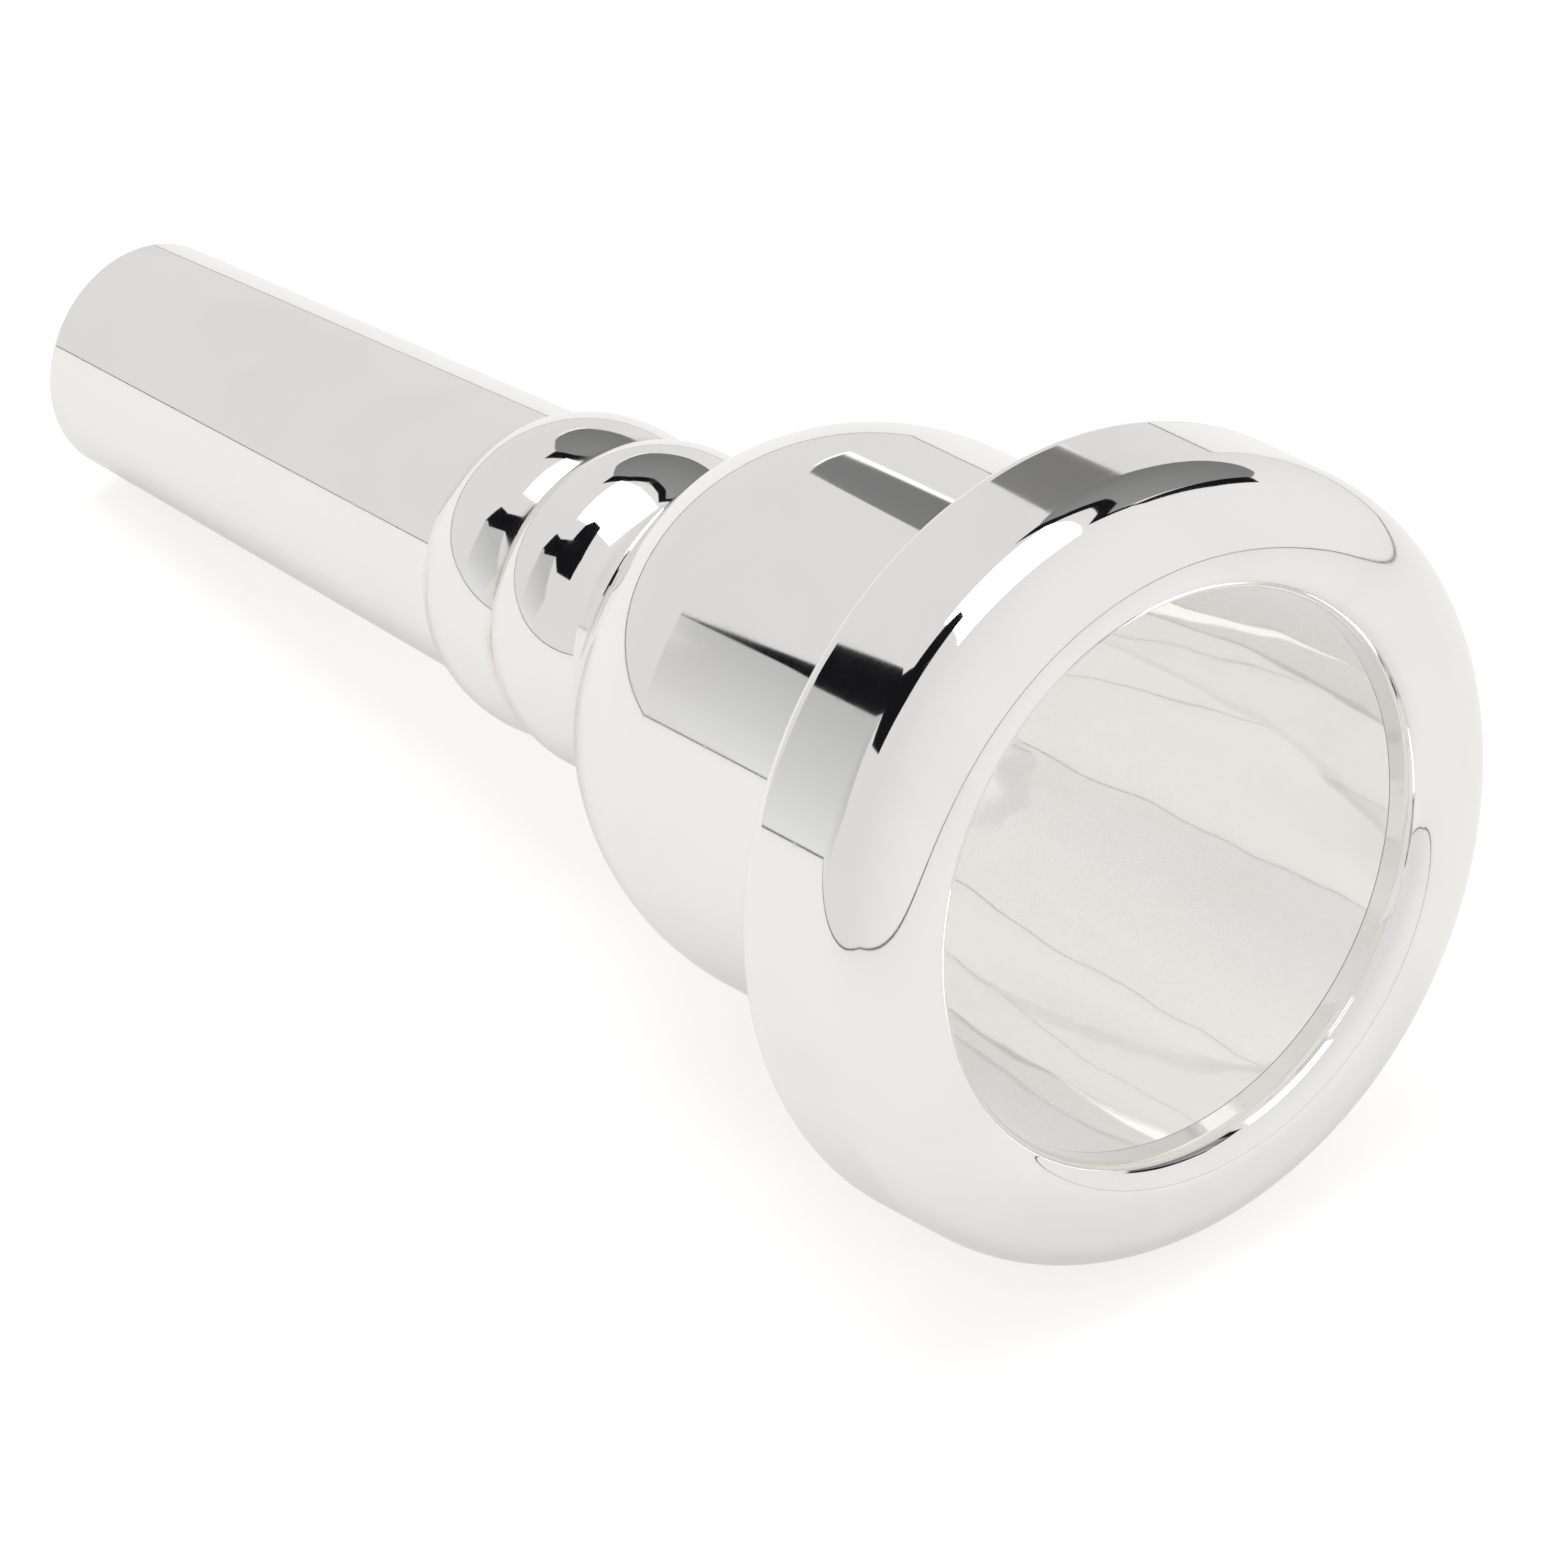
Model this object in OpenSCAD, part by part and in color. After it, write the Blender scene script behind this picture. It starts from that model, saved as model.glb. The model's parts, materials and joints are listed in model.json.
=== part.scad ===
// Tuba mouthpiece in the screw-together pattern: rim, cup and shank, with a rubber ring in each joint.
// It lies on its side as it does on a table, resting on the rim band and on the end of the shank.
// Units are millimetres, +Z is up, the floor is Z = 0 and the mouthpiece's axis lies over the X axis,
// with the rim at +X. Inside the modules z runs along the mouthpiece's own axis from the shank's end.

/* [Overall] */
// Length along the axis from the end of the shank to the face of the rim
overall_length = 92; // [76:0.5:112]
// Outside diameter of the rim band
rim_diameter = 44.8; // [37:0.1:54]
// Diameter of the cup's mouth just inside the rim
mouth_diameter = 31.7; // [26:0.1:38]

/* [Rim] */
// Length of the rim band along the axis
band_length = 10.4; // [8.5:0.1:13]
// Depth below the face at which the rim ends and the cup begins inside the bowl
lip_depth = 2.8; // [2.3:0.1:3.5]

/* [Cup] */
// Depth of the bowl from the face to the start of the throat
cup_depth = 37.5; // [32:0.5:39]
// Distance from the face to where the outside of the cup starts to round in
cup_shoulder = 26.9; // [24:0.1:30]
// Radius of the rounding of the cup's outside
cup_rounding = 15.2; // [13:0.1:18]
// Distance from the face to the crest of the bead on the cup's neck
cup_bead_from_face = 45.9; // [44:0.1:47]
// Radius of curvature of that bead along the axis
cup_bead_rounding = 5.8; // [5:0.1:7]
// Height of that bead above the neck
cup_bead_height = 1.3; // [1.0:0.05:1.6]
// Distance from the face to the groove where the shank screws on
shank_joint_from_face = 48.8; // [48:0.1:50]
// Radius of the long arc of the bowl's wall
bowl_rounding = 90; // [80:1:120]
// How far the cup's outside stands beyond the radius of its mouth
cup_body_step = 0.15; // [0:0.05:0.6]
// Diameter of the throat, the narrowest part of the bore
throat_diameter = 8; // [6.6:0.1:9.6]

/* [Shank] */
// Distance from the face to the crest of the bead on the shank
shank_bead_from_face = 51.5; // [51:0.1:53]
// Radius of curvature of that bead along the axis
shank_bead_rounding = 8.4; // [7:0.1:10]
// Height of that bead above the shank
shank_bead_height = 1.05; // [0.85:0.01:1.3]
// Outside diameter of the shank's end
shank_end_diameter = 13.2; // [11:0.1:15.8]
// Growth of the shank's diameter for each millimetre of length
shank_taper = 0.07; // [0.05:0.001:0.085]
// Wall left round the backbore at the shank's end
end_wall = 1.0; // [0.8:0.05:1.3]

/* [Joints] */
// Wall of the cup's spigot at its top, from the mouth out to where the rim fits over it
spigot_wall = 2.36; // [2.2:0.02:2.5]
// Thickness of the rubber ring in the rim's joint
rim_seal_size = 1.4; // [1.2:0.05:1.5]
// Distance from the back of the band to the middle of that ring
rim_seal_from_back = 1.7; // [1.5:0.05:1.9]
// Pitch of the thread between the cup and the rim
rim_pitch = 1.0; // [0.8:0.05:1.25]
// Pitch of the thread between the shank and the cup
shank_pitch = 1.0; // [0.8:0.05:1.25]
// Height of the threads' ridges
thread_height = 0.45; // [0.35:0.01:0.55]
// Radial running fit of the screwed joints and of the rubber rings
running_fit = 0.06; // [0.03:0.01:0.1]
// Gap left between the end faces of a joint that is screwed tight
seat_gap = 0.03; // [0.01:0.01:0.1]
// Thickness of the rubber ring in the shank's joint
shank_seal_size = 1.05; // [0.9:0.05:1.2]
// Step from the top of the shank's taper in to the guide that holds the ring
guide_step = 0.42; // [0.3:0.02:0.6]
// Length of that guide
guide_length = 2.9; // [2.6:0.1:3.2]
// Step from the guide in to the crests of the stud's thread
stud_step = 1.35; // [1.2:0.05:1.5]
// Depth of the threaded socket in the cup's neck
socket_depth = 8.2; // [7:0.1:8.2]

/* [Hidden] */
$fn = 96;
eps = 0.01;
over = 3;

rim_r = rim_diameter / 2;
mouth_r = mouth_diameter / 2;
land = rim_r - mouth_r;
length = overall_length;
band_z = length - band_length;
lip_z = length - lip_depth;
bowl_z = length - cup_depth;

// Rounding of the rim: a tight arc beside the band, a wide one over the face, a small one at the bite.
bite_round = 0.245 * land;
crest_r = mouth_r + bite_round;
front_run = 0.61 * land;
tight_round = 0.49 * land;
side_step = rim_r - crest_r - tight_round;
wide_round = (front_run * front_run + side_step * side_step - tight_round * tight_round)
    / (2 * (front_run - tight_round));
arc_angle = atan2(side_step, wide_round - front_run);
back_round = 0.2 * land;

// Rim joint: the cup's spigot stands inside the rim band.
spigot_r = mouth_r + spigot_wall;
rim_core_r = spigot_r - thread_height;
rim_seal_z = band_z + rim_seal_from_back;
rim_groove_half = 0.6 * rim_seal_size;
spigot_foot = band_z + 0.13;
spigot_top = lip_z - seat_gap;
guide_top = rim_seal_z + 0.9 * rim_seal_size;
lead = 0.35;

// Outside of the cup.
body_r = mouth_r + cup_body_step;
throat_r = throat_diameter / 2;
cup_arc = [body_r - cup_rounding, length - cup_shoulder];

// Shank and the two beads.
joint_z = length - shank_joint_from_face;
shank_bead_z = length - shank_bead_from_face;
end_r = shank_end_diameter / 2;
end_round = 0.45;
end_bore_r = end_r - end_wall;
shank_top_r = end_r + shank_taper / 2 * shank_bead_z;
shank_bead_r = shank_top_r + shank_bead_height;
cup_bead_r = shank_bead_r + 0.33;
cup_bead_z = length - cup_bead_from_face;
neck_r = cup_bead_r - cup_bead_height;
neck_top = cup_arc[1] - sqrt(pow(cup_rounding, 2) - pow(neck_r - cup_arc[0], 2));
cove_r = 1.2;
cove = [
    neck_r + cove_r,
    cup_arc[1] - sqrt(pow(cup_rounding + cove_r, 2) - pow(neck_r + cove_r - cup_arc[0], 2))
];

// Shank joint: a plain guide that holds the rubber ring, then a threaded stud.
guide_r = shank_top_r - guide_step;
stud_r = guide_r - stud_step;
stud_core_r = stud_r - thread_height;
shank_seal_z = joint_z + guide_length / 2;
shank_groove_half = 0.6 * shank_seal_size;
shank_guide_top = joint_z + guide_length;
socket_top = joint_z + socket_depth;
end_play = 0.2;

// Threads: where the ridges start, and how many half turns fit between there and the leading edge.
ridge_gap = 0.1;
steps_a_turn = 40;
rim_thread_z = guide_top + 0.5 * rim_pitch;
rim_room = spigot_top - lead - rim_thread_z;
rim_turns = floor(2 * rim_room / rim_pitch - 0.5) / 2;
shank_thread_z = shank_guide_top + end_play + 0.5 * shank_pitch;
shank_room = socket_top - end_play - lead - shank_thread_z;
shank_turns = floor(2 * shank_room / shank_pitch - 0.5) / 2;

// Bowl: one long arc from the mouth to the throat.
bowl_lip = [mouth_r, lip_z];
bowl_foot = [throat_r, bowl_z];
bowl_chord = norm(bowl_lip - bowl_foot);
bowl_along = (bowl_lip - bowl_foot) / bowl_chord;
bowl_centre = (bowl_lip + bowl_foot) / 2
    + sqrt(bowl_rounding * bowl_rounding - bowl_chord * bowl_chord / 4) * [-bowl_along[1], bowl_along[0]];

// Lie of the mouthpiece: the floor touches the back rounding of the band and the shank's end rounding.
rest_run = band_z + back_round - end_round;
rest_rise = (rim_r - back_round) - (end_r - end_round);
tilt = atan2(rest_rise, rest_run) + asin((back_round - end_round) / norm([rest_run, rest_rise]));
lift = (end_r - end_round) * cos(tilt) - end_round * sin(tilt) + end_round;
low_x = end_round * cos(tilt) - (end_r - end_round) * sin(tilt) - end_round;
high_x = (length - wide_round) * cos(tilt) + crest_r * sin(tilt) + wide_round;
shift = -(low_x + high_x) / 2;

// Puts a piece made on its own axis into its place on the floor.
module lay() {
    translate([shift, 0, lift]) rotate([0, 90 - tilt, 0]) children();
}

// What is taken off a half-section to round its lower outer corner at (r, z) with an arc of radius a.
module lower_corner(r, z, a) {
    difference() {
        translate([r - a, z - eps]) square([a + eps, a + eps]);
        translate([r - a, z + a]) circle(r = a);
    }
}

// Half-section of a round stub that stands from z0 to z1, with its leading edge chamfered.
module stub(r, z0, z1) {
    polygon([[0, z0], [r, z0], [r, z1 - lead], [r - lead, z1], [0, z1]]);
}

// Rubber ring of round section.
module ring(mean_r, size, z) {
    translate([0, 0, z]) rotate_extrude() translate([mean_r, 0]) circle(d = size);
}

// Helical ridge on a wall of radius wall_r, rising by height outwards (side = 1) or inwards (side = -1).
// It starts at z, climbs one pitch a turn, and runs out into the wall at both ends.
module ridge(wall_r, height, side, z, pitch, turns) {
    steps = round(turns * steps_a_turn);
    foot = wall_r - side * 0.15;
    half_foot = 0.36 * pitch;
    half_crest = 0.07 * pitch;
    points = [
        for (i = [0 : steps])
            let (
                angle = 360 * i / steps_a_turn,
                zi = z + pitch * i / steps_a_turn,
                rise = min(1, 0.12 + 6 * min(i, steps - i) / steps_a_turn),
                crest = wall_r + side * height * rise
            )
            for (p = [[foot, -half_foot], [foot, half_foot], [crest, half_crest], [crest, -half_crest]])
                [p[0] * cos(angle), p[0] * sin(angle), zi + p[1]]
    ];
    flanks = [
        for (i = [0 : steps - 1], k = [0 : 3])
            let (a = 4 * i + k, b = 4 * i + (k + 1) % 4)
            each [[a, b, b + 4], [a, b + 4, a + 4]]
    ];
    last = 4 * steps;
    ends = [[3, 2, 1], [3, 1, 0], [last, last + 1, last + 2], [last, last + 2, last + 3]];
    faces = concat(flanks, ends);
    turned = side > 0 ? [for (f = faces) [f[2], f[1], f[0]]] : faces;
    polyhedron(points = points, faces = turned, convexity = 8);
}

// Half-section of the rim's front: the wide arc over the face running into the tight arc at the band.
module front_arcs() {
    far = 2 * wide_round;
    translate([crest_r, length - wide_round]) intersection() {
        circle(r = wide_round);
        polygon([[0, 0], [far * sin(arc_angle), far * cos(arc_angle)], [0, far]]);
    }
    translate([rim_r - tight_round, length - front_run]) circle(r = tight_round);
    polygon([
        [crest_r - eps, length - front_run - eps],
        [rim_r - tight_round, length - front_run - eps],
        [rim_r - tight_round, length - front_run],
        [crest_r, length - wide_round],
        [crest_r - eps, length - wide_round]
    ]);
}

module rim_section() {
    bore_r = spigot_r + running_fit;
    difference() {
        translate([mouth_r, band_z]) square([land, band_length]);
        difference() {
            translate([crest_r, length - front_run]) square([land, front_run + eps]);
            front_arcs();
        }
        difference() {
            translate([mouth_r - eps, length - bite_round]) square([bite_round + eps, bite_round + eps]);
            translate([crest_r, length - bite_round]) circle(r = bite_round);
        }
        lower_corner(rim_r, band_z, back_round);
        translate([0, band_z - over]) square([bore_r, lip_z - band_z + over]);
        polygon([
            [0, band_z - eps],
            [bore_r + lead, band_z - eps],
            [bore_r, band_z + lead],
            [0, band_z + lead]
        ]);
    }
}

module cup_section() {
    difference() {
        union() {
            translate([0, spigot_foot]) square([spigot_r, guide_top - spigot_foot]);
            stub(rim_core_r, spigot_foot, spigot_top);
            translate([0, cup_arc[1]]) square([body_r, spigot_foot - cup_arc[1] + eps]);
            intersection() {
                translate(cup_arc) circle(r = cup_rounding);
                translate([0, neck_top]) square([body_r + eps, cup_arc[1] - neck_top + eps]);
            }
            difference() {
                polygon([
                    [neck_r, cove[1]],
                    cove,
                    cup_arc + (cove - cup_arc) * cup_rounding / (cup_rounding + cove_r),
                    [neck_r - 1, neck_top + 1],
                    [neck_r - 1, cove[1]]
                ]);
                translate(cove) circle(r = cove_r);
            }
            translate([0, joint_z + seat_gap]) square([neck_r, neck_top - joint_z]);
            intersection() {
                translate([cup_bead_r - cup_bead_rounding, cup_bead_z]) circle(r = cup_bead_rounding);
                translate([0, joint_z + seat_gap])
                    square([cup_bead_r + eps, cup_bead_z + cup_bead_rounding - joint_z]);
            }
        }
        translate([spigot_r - rim_seal_size - running_fit, rim_seal_z - rim_groove_half])
            square([over, 2 * rim_groove_half]);
    }
}

module bowl_section() {
    intersection() {
        translate(bowl_centre) circle(r = bowl_rounding);
        translate([0, bowl_z]) square([mouth_r + over, lip_z - bowl_z]);
    }
    translate([0, spigot_top - eps]) square([mouth_r, over]);
    translate([0, socket_top - eps]) square([throat_r, bowl_z - socket_top + 2 * eps]);
}

module shank_section() {
    difference() {
        union() {
            polygon([
                [0, 0],
                [end_r, 0],
                [shank_top_r, shank_bead_z],
                [shank_top_r, joint_z],
                [0, joint_z]
            ]);
            intersection() {
                translate([shank_bead_r - shank_bead_rounding, shank_bead_z])
                    circle(r = shank_bead_rounding);
                translate([0, shank_bead_z - shank_bead_rounding])
                    square([shank_bead_r + eps, joint_z - shank_bead_z + shank_bead_rounding]);
            }
            stub(guide_r, joint_z - eps, shank_guide_top);
            stub(stud_core_r, joint_z - eps, socket_top - end_play);
        }
        translate([guide_r - shank_seal_size - running_fit, shank_seal_z - shank_groove_half])
            square([over, 2 * shank_groove_half]);
        lower_corner(end_r, 0, end_round);
    }
}

// Rim: rounded face, bite and outer band, bored and threaded behind to screw over the cup's spigot.
module rim() {
    color([0.84, 0.85, 0.86]) lay() union() {
        rotate_extrude() rim_section();
        ridge(spigot_r + running_fit, thread_height - ridge_gap, -1, rim_thread_z + rim_pitch / 2,
            rim_pitch, rim_turns);
    }
}

// Rubber ring in the groove at the foot of the cup's spigot.
module rim_seal() {
    color([0.06, 0.06, 0.07]) lay() ring(spigot_r - rim_seal_size / 2, rim_seal_size, rim_seal_z);
}

// Cup: threaded spigot, deep bowl, neck and bead, with the throat and the shank's threaded socket behind.
module cup() {
    color([0.84, 0.85, 0.86]) lay() union() {
        difference() {
            rotate_extrude() cup_section();
            rotate_extrude() bowl_section();
            translate([0, 0, joint_z - over])
                cylinder(r = guide_r + running_fit, h = shank_guide_top + end_play - joint_z + over);
            translate([0, 0, joint_z - over])
                cylinder(r = stud_r + running_fit, h = socket_top - joint_z + over);
        }
        ridge(rim_core_r, thread_height - ridge_gap / 2, 1, rim_thread_z, rim_pitch, rim_turns);
        ridge(stud_r + running_fit, thread_height - ridge_gap, -1, shank_thread_z + shank_pitch / 2,
            shank_pitch, shank_turns);
    }
}

// Rubber ring in the groove of the shank's guide.
module shank_seal() {
    color([0.06, 0.06, 0.07]) lay() ring(guide_r - shank_seal_size / 2, shank_seal_size, shank_seal_z);
}

// Shank: threaded stud, bead and the long taper that plugs into the tuba, with the backbore inside.
module shank() {
    color([0.84, 0.85, 0.86]) lay() union() {
        difference() {
            rotate_extrude() shank_section();
            translate([0, 0, -eps])
                cylinder(r1 = end_bore_r, r2 = throat_r, h = socket_top - end_play + 2 * eps);
        }
        ridge(stud_core_r, thread_height - ridge_gap / 2, 1, shank_thread_z, shank_pitch, shank_turns);
    }
}

rim();
rim_seal();
cup();
shank_seal();
shank();
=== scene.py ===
# %% [markdown]
# # A tuba mouthpiece that screws apart
# The mouthpiece is turned from brass bar in three pieces, plated with silver and polished to a mirror:
# a rim, a cup and a shank. A rubber ring sits in each of the two screw joints.
# This lesson loads the solid parts as a fixed frame and builds the polished pieces over them.
# The frame comes first because every piece takes its place and its motion from it.

# %% Load the frame
import json
import math
import bpy
import numpy as np
from mathutils import Matrix, Vector


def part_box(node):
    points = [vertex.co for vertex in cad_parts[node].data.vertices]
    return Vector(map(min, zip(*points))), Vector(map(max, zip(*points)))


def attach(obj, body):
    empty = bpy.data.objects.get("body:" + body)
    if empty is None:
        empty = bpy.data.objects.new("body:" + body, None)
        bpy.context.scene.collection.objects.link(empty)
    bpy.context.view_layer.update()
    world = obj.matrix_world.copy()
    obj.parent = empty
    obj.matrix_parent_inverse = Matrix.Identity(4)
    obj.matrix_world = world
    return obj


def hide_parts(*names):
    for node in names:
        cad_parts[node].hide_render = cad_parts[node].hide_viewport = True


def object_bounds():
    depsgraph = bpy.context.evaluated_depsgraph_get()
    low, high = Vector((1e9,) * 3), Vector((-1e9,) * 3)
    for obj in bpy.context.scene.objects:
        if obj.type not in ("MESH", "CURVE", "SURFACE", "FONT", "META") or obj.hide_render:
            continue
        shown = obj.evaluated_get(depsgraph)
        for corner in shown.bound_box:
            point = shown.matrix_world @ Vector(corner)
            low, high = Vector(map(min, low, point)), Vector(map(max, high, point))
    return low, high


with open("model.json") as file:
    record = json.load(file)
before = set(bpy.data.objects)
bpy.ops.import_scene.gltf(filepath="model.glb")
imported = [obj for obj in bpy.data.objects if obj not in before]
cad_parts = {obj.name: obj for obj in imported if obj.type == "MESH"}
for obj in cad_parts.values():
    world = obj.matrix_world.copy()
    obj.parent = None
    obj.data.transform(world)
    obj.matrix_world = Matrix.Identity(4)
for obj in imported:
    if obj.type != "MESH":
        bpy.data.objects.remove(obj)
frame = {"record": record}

MM = 0.001


def in_mm(metres, places=2):
    return [round(v / MM, places) for v in metres]


cad_low, cad_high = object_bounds()
print("CAD box in mm:", in_mm(cad_high - cad_low))

# %% [markdown]
# ## The axis of the mouthpiece
# Every piece is a body of revolution, so one axis places them all. The record's shank mount stands at the
# end of the shank and points away from the rim. Turning it round gives the direction in which z is
# measured here: from the shank's end to the face of the rim. A matrix then carries a piece that is made
# upright on its own axis to where it lies, so no piece needs to be nudged into place by hand.

# %% Find the axis
mounts = {mount["name"]: mount for mount in frame["record"]["mounts"]}
taper = mounts["receiver_taper"]
shank_end = Vector(taper["pos_m"])
along = -Vector(taper["axis"]).normalized()
sideways = Vector((0, 1, 0))
tilt = Matrix((sideways.cross(along), sideways, along)).transposed()
lay = Matrix.Translation(shank_end) @ tilt.to_4x4()
print("axis", [round(v, 4) for v in along], "from", in_mm(shank_end))

# %% [markdown]
# ## The camera
# A long lens far from the mouthpiece keeps its circles nearly true ellipses, which is how small shiny goods
# are usually shown. The camera is aimed at a point just inside the cup and never rolled.
# A constraint could aim it, but a rotation worked out once is simpler and stays put.

# %% Place the camera
camera_place = Vector((0.549743, -0.444181, 0.556730))
camera_target = Vector((0.009374, 0.0, 0.010026))
camera_data = bpy.data.cameras.new("long_lens")
camera_data.sensor_width = 36
camera_data.sensor_fit = "HORIZONTAL"
camera_data.lens = 384.2
camera_data.clip_start = 0.05
camera_data.clip_end = 20
camera = bpy.data.objects.new("long_lens", camera_data)
camera.location = camera_place
camera.rotation_euler = (camera_target - camera_place).to_track_quat("-Z", "Y").to_euler()
bpy.context.scene.collection.objects.link(camera)
bpy.context.scene.camera = camera
print("camera distance in mm:", in_mm([(camera_target - camera_place).length], 1))

# %% [markdown]
# ## Profiles with true normals
# On a lathe the tool follows a profile, and so does this mesh. A mirror finish shows every fault of the
# shading, so each point of the profile carries its exact outward direction as well as its place.
# A profile is a list of corners and arcs, in mm. A corner is (r, z) or (r, z, fillet). An arc is
# (r, z, radius, from, to): its centre, its radius and its two angles in degrees, measured from the
# direction of growing r towards growing z. The metal is always on the left of the way the list runs.
# A word in the list names the finish of what follows it.
# A step along an arc is limited both in degrees and in mm. Tiny roundings get by with fewer steps.

# %% Arcs, and the rounding of a corner
WIDEST_STEP, LONGEST_STEP = 3.0, 0.5
SMALL_ROUNDING, SMALL_STEP = 0.4, 15.0


def corner_arc(before, corner, after, fillet):
    """The arc that rounds a corner, as (r, z, radius, from, to)."""
    here = np.array(corner, float)
    into, out = here - np.array(before, float), np.array(after, float) - here
    into, out = into / np.linalg.norm(into), out / np.linalg.norm(out)
    turn = math.atan2(into[0] * out[1] - into[1] * out[0], float(into @ out))
    side = 1 if turn > 0 else -1
    start = here - into * fillet * math.tan(abs(turn) / 2)
    centre = start + side * fillet * np.array([-into[1], into[0]])
    first = math.degrees(math.atan2(start[1] - centre[1], start[0] - centre[0]))
    return (*centre, fillet, first, first + math.degrees(turn))


def arc_points(arc):
    """Rows of (r, z, nr, nz) along an arc. An arc that runs clockwise is hollow, so its normals point in."""
    r, z, radius, first, last = arc
    widest = SMALL_STEP if radius < SMALL_ROUNDING else WIDEST_STEP
    step = min(widest, math.degrees(LONGEST_STEP / radius))
    count = max(3, math.ceil(abs(last - first) / step)) + 1
    side = 1 if last > first else -1
    angles = np.radians(np.linspace(first, last, count))
    c, s = np.cos(angles), np.sin(angles)
    return np.stack([r + radius * c, z + radius * s, side * c, side * s], 1)


print("a square corner rounded by 1 mm:", np.round(corner_arc((0, 0), (5, 0), (5, 5), 1), 2))

# %% [markdown]
# ## Runs of a profile
# Between its arcs a profile is straight. Cutting it into runs, each one straight or one arc, lets a run keep
# a single finish and true normals to its very ends. The points could also go into one long list with normals
# averaged between neighbours, but an edge between two flats would then look soft.

# %% Split a profile into runs
NO_LENGTH = 1e-6


def profile_runs(listed, closed=True):
    """Splits a profile into straight and curved runs: pairs of a table of (r, z, nr, nz) and a finish."""
    items, finishes, finish = [], [], "mirror"
    for item in listed:
        if isinstance(item, str):
            finish = item
        else:
            items.append(item)
            finishes.append(finish)
    count = len(items)
    ends = [(i[:2], i[:2]) if len(i) < 4 else tuple(arc_points(i)[[0, -1], :2]) for i in items]
    shapes = []
    for k, item in enumerate(items):
        if len(item) == 3 and (closed or 0 < k < count - 1):
            item = corner_arc(ends[k - 1][1], item[:2], ends[(k + 1) % count][0], item[2])
        shapes.append(arc_points(item) if len(item) > 3 else np.array([[*item[:2], 0, 0]]))
    runs = []
    for k, shape in enumerate(shapes):
        if len(shape) > 1:
            runs.append((shape, finishes[k]))
        if k == count - 1 and not closed:
            break
        a, b = shape[-1, :2], shapes[(k + 1) % count][0, :2]
        step = b - a
        if np.linalg.norm(step) > NO_LENGTH:
            normal = np.array([step[1], -step[0]]) / np.linalg.norm(step)
            runs.append((np.array([[*a, *normal], [*b, *normal]]), finishes[k]))
    return runs


sleeve = profile_runs([(4, 0), (5, 0, 0.2), (5, 3, 0.2), (4, 3)])
print("a plain sleeve with two rounded edges has", len(sleeve), "runs")

# %% [markdown]
# ## Turning a profile
# The runs are turned about z. Two runs that meet smoothly share their ring of points, and two that meet at
# an edge keep one ring each, which leaves that edge crisp. A Screw modifier could turn the profile too,
# but it would guess the normals from the faces, and a mirror would show the guess.

# %% Turn runs about the axis
TURNED_SIDES = 288
SAME_RING = 0.02


def rings_of(runs):
    """The rings of a profile, and the bands between them as (lower ring, upper ring, finish).
    Two runs share a ring where its place and normal differ by no more than SAME_RING."""
    rings, bands = [], []
    for table, finish in runs:
        if not rings or np.abs(rings[-1] - table[0]).max() > SAME_RING:
            rings.append(table[0])
        for row in table[1:]:
            rings.append(row)
            bands.append((len(rings) - 2, len(rings) - 1, finish))
    return np.array(rings), bands


def turned(profile):
    """Points, normals, faces and finishes of a closed profile turned about z."""
    rings, bands = rings_of(profile_runs(profile))
    sides = TURNED_SIDES
    angle = np.linspace(0, 2 * np.pi, sides, endpoint=False)
    c, s = np.cos(angle)[None, :], np.sin(angle)[None, :]
    r, z, nr, nz = (rings[:, i][:, None] for i in range(4))
    points = np.stack([r * c, r * s, z + 0 * c], 2).reshape(-1, 3)
    normals = np.stack([nr * c, nr * s, nz + 0 * c], 2).reshape(-1, 3)
    faces, finishes = [], []
    for low, high, finish in bands:
        for i in range(sides):
            j = (i + 1) % sides
            faces.append((low * sides + i, low * sides + j, high * sides + j, high * sides + i))
            finishes.append(finish)
    return points, normals, faces, finishes


print("a washer has", len(turned([(4, 0), (5, 0), (5, 1), (4, 1)])[2]), "faces")

# %% [markdown]
# ## Cutting a thread
# A thread is one ridge wound round a wall. Its section is a low trapezium with small roundings at the
# crest, and it fades out at both ends, as a thread does where the tool leaves the metal.
# The ridge is swept here point by point, because an Array or Screw modifier can't fade its ends.
# Side 1 stands out from a stud, and side -1 stands in from the wall of a socket, where it is a little lower.
# The foot is sunk into the wall, so that no slit shows between the two. All lengths are in mm, and the
# widths are shares of the pitch.

# %% Wind a ridge
PITCH, THREAD_TURNS, STEPS_A_TURN = 1.0, 3.5, 96
STUD_RIDGE, SOCKET_RIDGE, SUNK = 0.40, 0.35, 0.15
HALF_FOOT, HALF_CREST, CREST_EDGE = 0.36, 0.07, 0.04
FADE_FROM, FADE_A_TURN = 0.12, 6


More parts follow.
